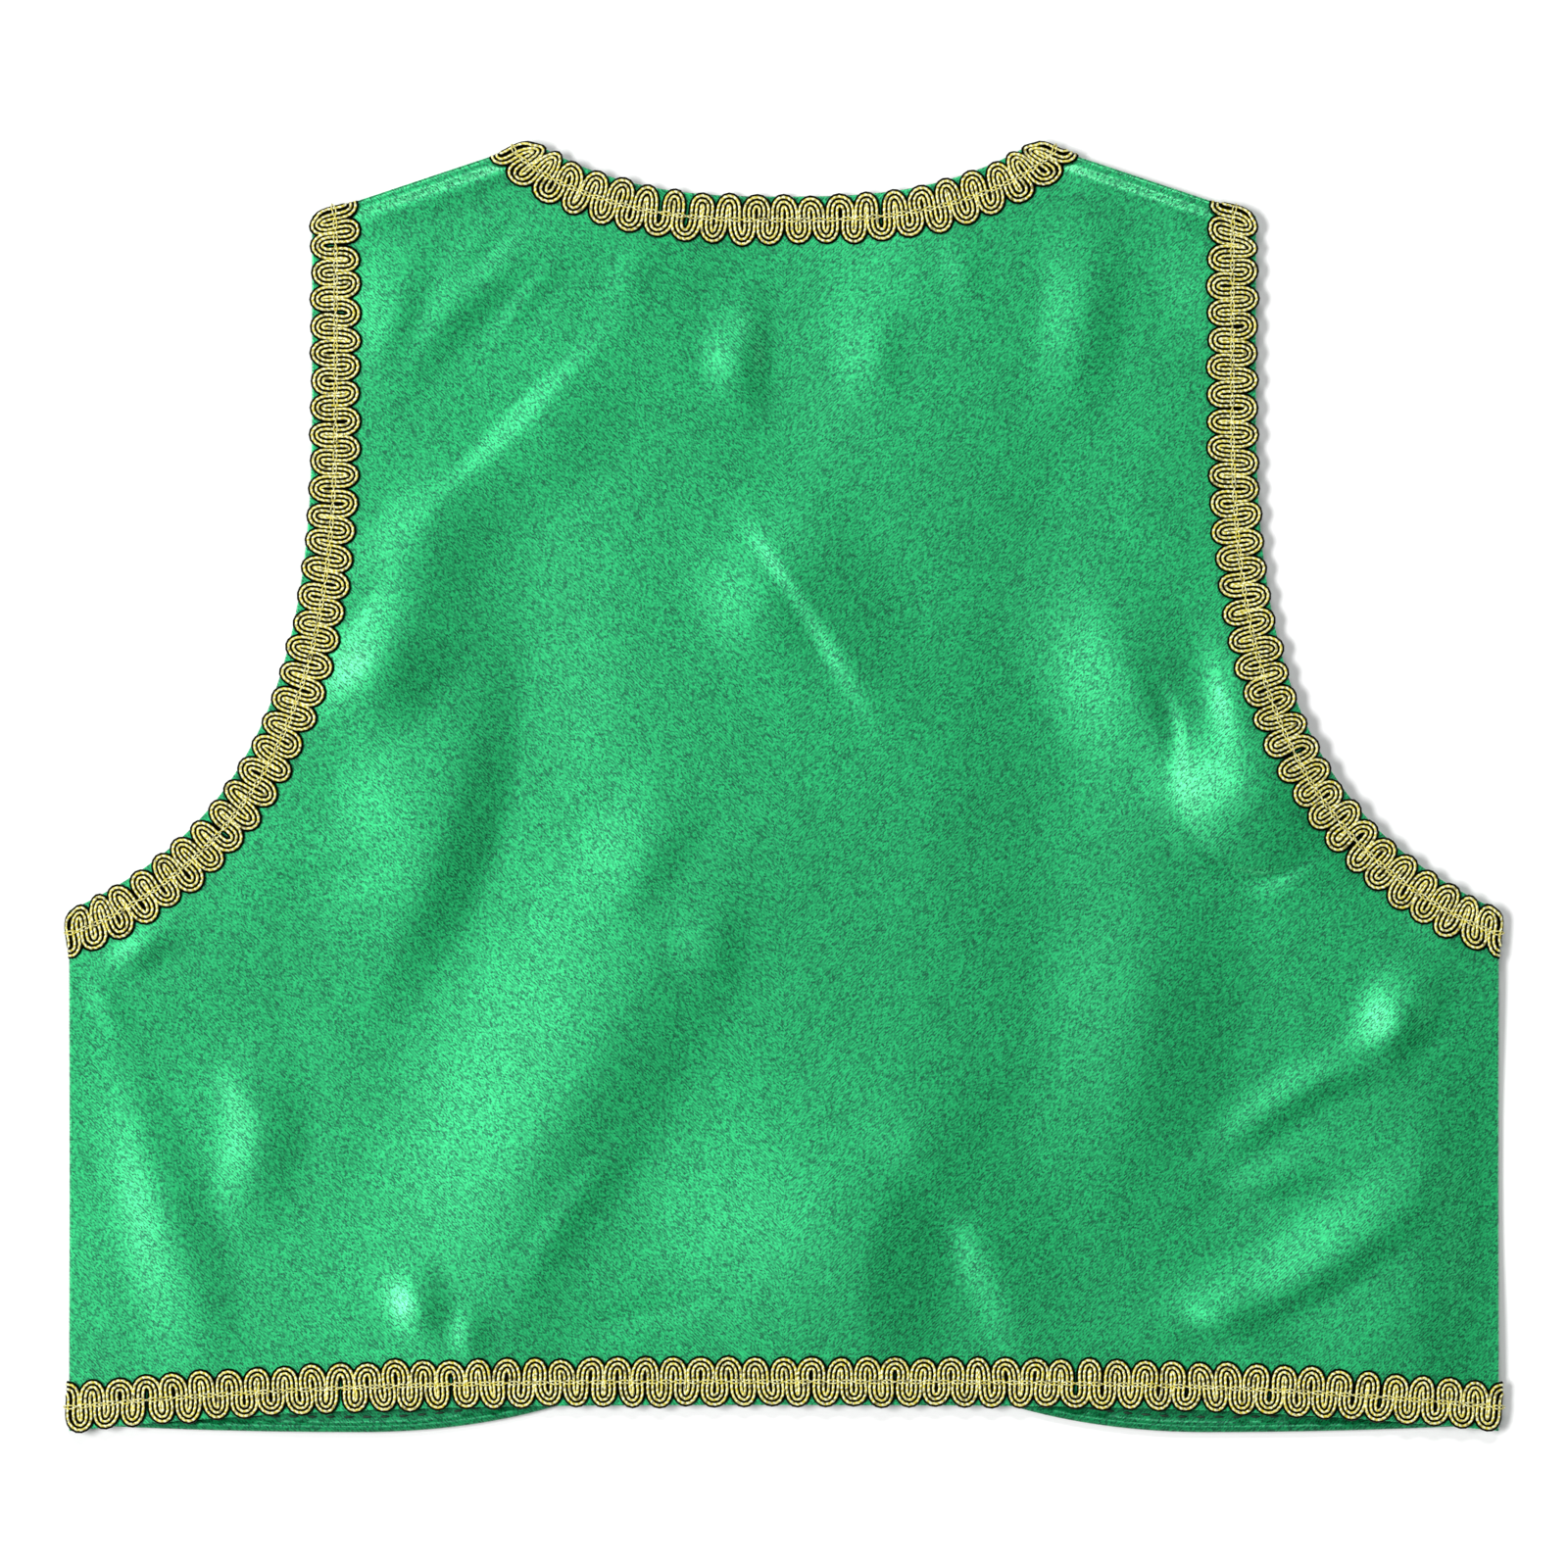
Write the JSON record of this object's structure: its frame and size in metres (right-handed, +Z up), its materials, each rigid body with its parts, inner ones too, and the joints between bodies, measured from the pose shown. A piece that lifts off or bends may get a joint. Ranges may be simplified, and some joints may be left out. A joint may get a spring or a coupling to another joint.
{
  "type": "genie vest",
  "caption": "Sleeveless satin vest, open at the front, laid flat with its back up, with gold scroll gimp braid along the neck, armholes, front edges and hem.",
  "frame": {"origin": "under the middle of the garment's outline, on the surface that it lies on", "axes": "+X across the chest, to the right as the back is looked at; +Y from the hem to the neck; +Z up, out of the back"},
  "size_m": [0.4026, 0.3622, 0.0097],
  "materials": {
    "satin": "glossy green polyester satin",
    "gimp": "gold metallic yarn scroll gimp"
  },
  "bodies": {
    "root": {"back_panel": "satin", "front_panel_right": "satin", "front_panel_left": "satin", "neck_braid": "gimp", "hem_braid": "gimp", "armhole_braid_right": "gimp", "armhole_braid_left": "gimp", "front_armhole_braid_right": "gimp", "front_armhole_braid_left": "gimp", "front_edge_braid_right": "gimp", "front_edge_braid_left": "gimp"}
  },
  "joints": []
}
